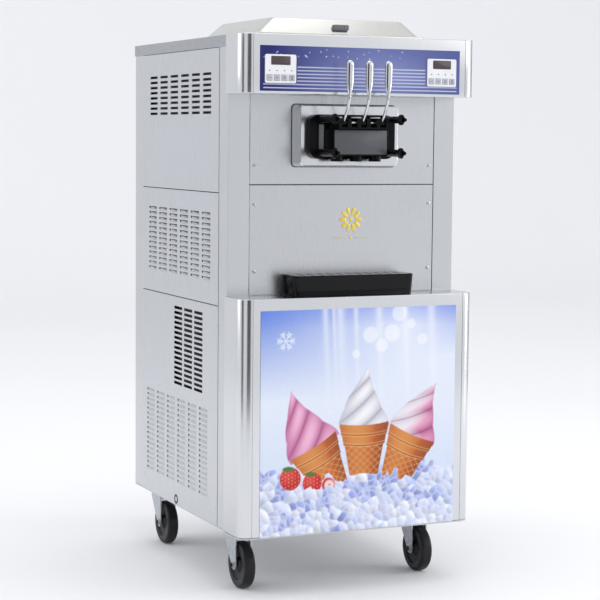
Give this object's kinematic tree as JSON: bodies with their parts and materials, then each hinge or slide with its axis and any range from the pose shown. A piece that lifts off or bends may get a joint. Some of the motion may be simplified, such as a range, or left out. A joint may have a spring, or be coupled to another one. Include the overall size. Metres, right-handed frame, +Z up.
{
  "type": "soft serve machine",
  "caption": "Floor-standing soft serve machine: brushed steel cabinet on casters, draw levers on a dispensing head, drip tray, key pads and a lift-off hopper lid",
  "frame": {"origin": "on the floor, under the middle of the machine's bounding box", "axes": "+Z up, -Y out of the serving front, +X to the right as seen from the front"},
  "size_m": [0.54, 0.6997, 1.2057],
  "materials": {
    "black": "moulded, satin gloss",
    "chrome": "polished",
    "copper": "bare fins",
    "iron": "painted black",
    "key": "satin",
    "lid": "pressed, satin",
    "overlay": "printed film, glossy",
    "plastic": "moulded",
    "poster": "printed film, glossy",
    "rubber": "matt",
    "steel": "vertically brushed stainless sheet",
    "white": "satin",
    "zinc": "zinc plated"
  },
  "bodies": {
    "cabinet": {"back_panel": "steel", "base_pan": "steel", "cable_gland": "rubber", "chassis_frame": "steel", "compressor": "iron", "condenser": "copper", "control_overlay": "overlay", "dispensing_head": "black", "drive_unit": "iron", "freezing_cylinder_left": "steel", "freezing_cylinder_right": "steel", "front_lower_panel": "steel", "front_upper_panel": "steel", "head_face_plate": "steel", "header_casing": "steel", "hopper": "steel", "keypad_left": "white", "keypad_right": "white", "left_lower_panel": "steel", "left_middle_panel": "steel", "left_upper_panel": "steel", "lever_pin": "chrome", "lower_casing": "steel", "poster_panel": "poster", "right_lower_panel": "steel", "right_middle_panel": "steel", "right_upper_panel": "steel", "top_cover": "steel"},
    "lever_left": {"lever_left": "chrome"},
    "valve_left": {"valve_plunger_left": "white"},
    "lever_middle": {"lever_middle": "chrome"},
    "valve_middle": {"valve_plunger_middle": "white"},
    "lever_right": {"lever_right": "chrome"},
    "valve_right": {"valve_plunger_right": "white"},
    "hand_nut_upper_left": {"hand_nut_upper_left": "black"},
    "hand_nut_upper_right": {"hand_nut_upper_right": "black"},
    "hand_nut_lower_left": {"hand_nut_lower_left": "black"},
    "hand_nut_lower_right": {"hand_nut_lower_right": "black"},
    "lid": {"hopper_lid": "lid"},
    "tray": {"drip_tray": "black"},
    "grille": {"drip_grille": "black"},
    "key_left_1": {"key_left_1": "key"},
    "key_left_2": {"key_left_2": "key"},
    "key_left_3": {"key_left_3": "key"},
    "key_left_4": {"key_left_4": "key"},
    "key_right_1": {"key_right_1": "key"},
    "key_right_2": {"key_right_2": "key"},
    "key_right_3": {"key_right_3": "key"},
    "key_right_4": {"key_right_4": "key"},
    "caster_fork_front_left": {"caster_fork_front_left": "zinc"},
    "caster_wheel_front_left": {"caster_wheel_front_left": "rubber"},
    "caster_fork_front_right": {"caster_fork_front_right": "zinc"},
    "caster_wheel_front_right": {"caster_wheel_front_right": "rubber"},
    "caster_fork_rear_left": {"caster_fork_rear_left": "zinc"},
    "caster_wheel_rear_left": {"caster_wheel_rear_left": "rubber"},
    "caster_fork_rear_right": {"caster_fork_rear_right": "zinc"},
    "caster_wheel_rear_right": {"caster_wheel_rear_right": "rubber"},
    "fan": {"condenser_fan": "plastic"},
    "beater_left": {"beater_left": "white"},
    "beater_right": {"beater_right": "white"}
  },
  "joints": [
    {"name": "lever_left_pull", "type": "hinge", "parent": "cabinet", "child": "lever_left", "pos_m": [-0.044, -0.31423, 0.987], "axis": [1, 0, 0], "range_deg": [0, 40]},
    {"name": "valve_left_lift", "type": "slide", "parent": "cabinet", "child": "valve_left", "axis": [0, 0, 1], "range_m": [0, 0.02]},
    {"name": "lever_middle_pull", "type": "hinge", "parent": "cabinet", "child": "lever_middle", "pos_m": [0, -0.31423, 0.987], "axis": [1, 0, 0], "range_deg": [0, 40]},
    {"name": "valve_middle_lift", "type": "slide", "parent": "cabinet", "child": "valve_middle", "axis": [0, 0, 1], "range_m": [0, 0.02]},
    {"name": "lever_right_pull", "type": "hinge", "parent": "cabinet", "child": "lever_right", "pos_m": [0.044, -0.31423, 0.987], "axis": [1, 0, 0], "range_deg": [0, 40]},
    {"name": "valve_right_lift", "type": "slide", "parent": "cabinet", "child": "valve_right", "axis": [0, 0, 1], "range_m": [0, 0.02]},
    {"name": "hand_nut_upper_left_turn", "type": "hinge", "parent": "cabinet", "child": "hand_nut_upper_left", "pos_m": [-0.076, -0.26953, 0.994], "axis": [0, 1, 0], "continuous": true},
    {"name": "hand_nut_upper_right_turn", "type": "hinge", "parent": "cabinet", "child": "hand_nut_upper_right", "pos_m": [0.076, -0.26953, 0.994], "axis": [0, 1, 0], "continuous": true},
    {"name": "hand_nut_lower_left_turn", "type": "hinge", "parent": "cabinet", "child": "hand_nut_lower_left", "pos_m": [-0.076, -0.26953, 0.925], "axis": [0, 1, 0], "continuous": true},
    {"name": "hand_nut_lower_right_turn", "type": "hinge", "parent": "cabinet", "child": "hand_nut_lower_right", "pos_m": [0.076, -0.26953, 0.925], "axis": [0, 1, 0], "continuous": true},
    {"name": "lid_lift", "type": "slide", "parent": "cabinet", "child": "lid", "axis": [0, 0, 1], "range_m": [0, 0.25]},
    {"name": "tray_pull", "type": "slide", "parent": "cabinet", "child": "tray", "axis": [0, -1, 0], "range_m": [0, 0.12]},
    {"name": "grille_lift", "type": "slide", "parent": "tray", "child": "grille", "axis": [0, 0, 1], "range_m": [0, 0.08]},
    {"name": "key_left_1_press", "type": "slide", "parent": "cabinet", "child": "key_left_1", "axis": [0, 1, 0], "range_m": [0, 0.001], "stiffness_N_per_m": 800},
    {"name": "key_left_2_press", "type": "slide", "parent": "cabinet", "child": "key_left_2", "axis": [0, 1, 0], "range_m": [0, 0.001], "stiffness_N_per_m": 800},
    {"name": "key_left_3_press", "type": "slide", "parent": "cabinet", "child": "key_left_3", "axis": [0, 1, 0], "range_m": [0, 0.001], "stiffness_N_per_m": 800},
    {"name": "key_left_4_press", "type": "slide", "parent": "cabinet", "child": "key_left_4", "axis": [0, 1, 0], "range_m": [0, 0.001], "stiffness_N_per_m": 800},
    {"name": "key_right_1_press", "type": "slide", "parent": "cabinet", "child": "key_right_1", "axis": [0, 1, 0], "range_m": [0, 0.001], "stiffness_N_per_m": 800},
    {"name": "key_right_2_press", "type": "slide", "parent": "cabinet", "child": "key_right_2", "axis": [0, 1, 0], "range_m": [0, 0.001], "stiffness_N_per_m": 800},
    {"name": "key_right_3_press", "type": "slide", "parent": "cabinet", "child": "key_right_3", "axis": [0, 1, 0], "range_m": [0, 0.001], "stiffness_N_per_m": 800},
    {"name": "key_right_4_press", "type": "slide", "parent": "cabinet", "child": "key_right_4", "axis": [0, 1, 0], "range_m": [0, 0.001], "stiffness_N_per_m": 800},
    {"name": "caster_fork_front_left_swivel", "type": "hinge", "parent": "cabinet", "child": "caster_fork_front_left", "pos_m": [-0.211, -0.16043, 0], "axis": [0, 0, 1], "continuous": true},
    {"name": "caster_wheel_front_left_roll", "type": "hinge", "parent": "caster_fork_front_left", "child": "caster_wheel_front_left", "pos_m": [-0.211, -0.18743, 0.05], "axis": [1, 0, 0], "continuous": true},
    {"name": "caster_fork_front_right_swivel", "type": "hinge", "parent": "cabinet", "child": "caster_fork_front_right", "pos_m": [0.211, -0.16043, 0], "axis": [0, 0, 1], "continuous": true},
    {"name": "caster_wheel_front_right_roll", "type": "hinge", "parent": "caster_fork_front_right", "child": "caster_wheel_front_right", "pos_m": [0.211, -0.18743, 0.05], "axis": [1, 0, 0], "continuous": true},
    {"name": "caster_fork_rear_left_swivel", "type": "hinge", "parent": "cabinet", "child": "caster_fork_rear_left", "pos_m": [-0.211, 0.30357, 0], "axis": [0, 0, 1], "continuous": true},
    {"name": "caster_wheel_rear_left_roll", "type": "hinge", "parent": "caster_fork_rear_left", "child": "caster_wheel_rear_left", "pos_m": [-0.211, 0.27657, 0.05], "axis": [1, 0, 0], "continuous": true},
    {"name": "caster_fork_rear_right_swivel", "type": "hinge", "parent": "cabinet", "child": "caster_fork_rear_right", "pos_m": [0.211, 0.30357, 0], "axis": [0, 0, 1], "continuous": true},
    {"name": "caster_wheel_rear_right_roll", "type": "hinge", "parent": "caster_fork_rear_right", "child": "caster_wheel_rear_right", "pos_m": [0.211, 0.27657, 0.05], "axis": [1, 0, 0], "continuous": true},
    {"name": "fan_spin", "type": "hinge", "parent": "cabinet", "child": "fan", "pos_m": [-0.133, 0.06207, 0.2548], "axis": [1, 0, 0], "continuous": true},
    {"name": "beater_left_spin", "type": "hinge", "parent": "cabinet", "child": "beater_left", "pos_m": [-0.05, -0.22743, 0.958], "axis": [0, 1, 0], "continuous": true},
    {"name": "beater_right_spin", "type": "hinge", "parent": "cabinet", "child": "beater_right", "pos_m": [0.05, -0.22743, 0.958], "axis": [0, 1, 0], "continuous": true}
  ],
  "couplings": [
    {"joint": "valve_left_lift", "follows": "lever_left_pull", "m_per_rad": 0.0275},
    {"joint": "valve_middle_lift", "follows": "lever_middle_pull", "m_per_rad": 0.0275},
    {"joint": "valve_right_lift", "follows": "lever_right_pull", "m_per_rad": 0.0275}
  ]
}
